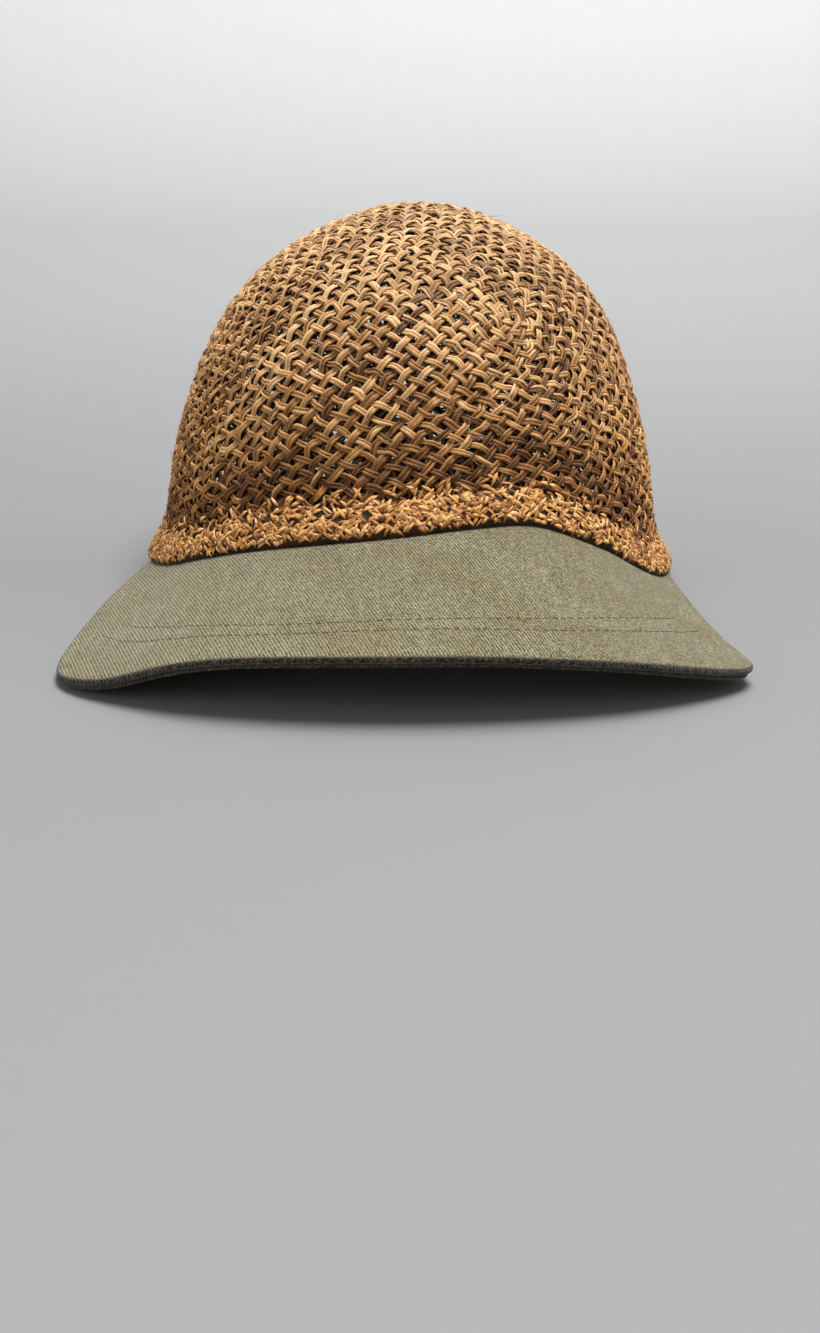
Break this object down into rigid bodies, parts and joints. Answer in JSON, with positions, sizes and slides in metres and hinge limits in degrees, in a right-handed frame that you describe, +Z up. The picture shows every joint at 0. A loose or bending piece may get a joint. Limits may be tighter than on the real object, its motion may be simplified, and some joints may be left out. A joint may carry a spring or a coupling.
{
  "type": "straw baseball cap",
  "caption": "Woven straw baseball cap with an open hood crown, a turned-up hem and a stiff twill-covered peak.",
  "frame": {"origin": "under the middle of the cap's box, on the surface that it rests on", "axes": "+X across the cap, towards the right of someone who faces its peak; -Y towards the front of the peak; +Z up"},
  "size_m": [0.1882, 0.2752, 0.1205],
  "materials": {
    "straw": "open plain weave of tan plant straw, matt with a slight sheen along the fibres",
    "twill": "coarse matt olive twill of light and dark yarns",
    "underside_cloth": "plain matt olive cloth"
  },
  "bodies": {
    "root": {"crown": "straw", "crown_hem": "straw", "peak": "twill", "peak_underside": "underside_cloth"}
  },
  "joints": []
}
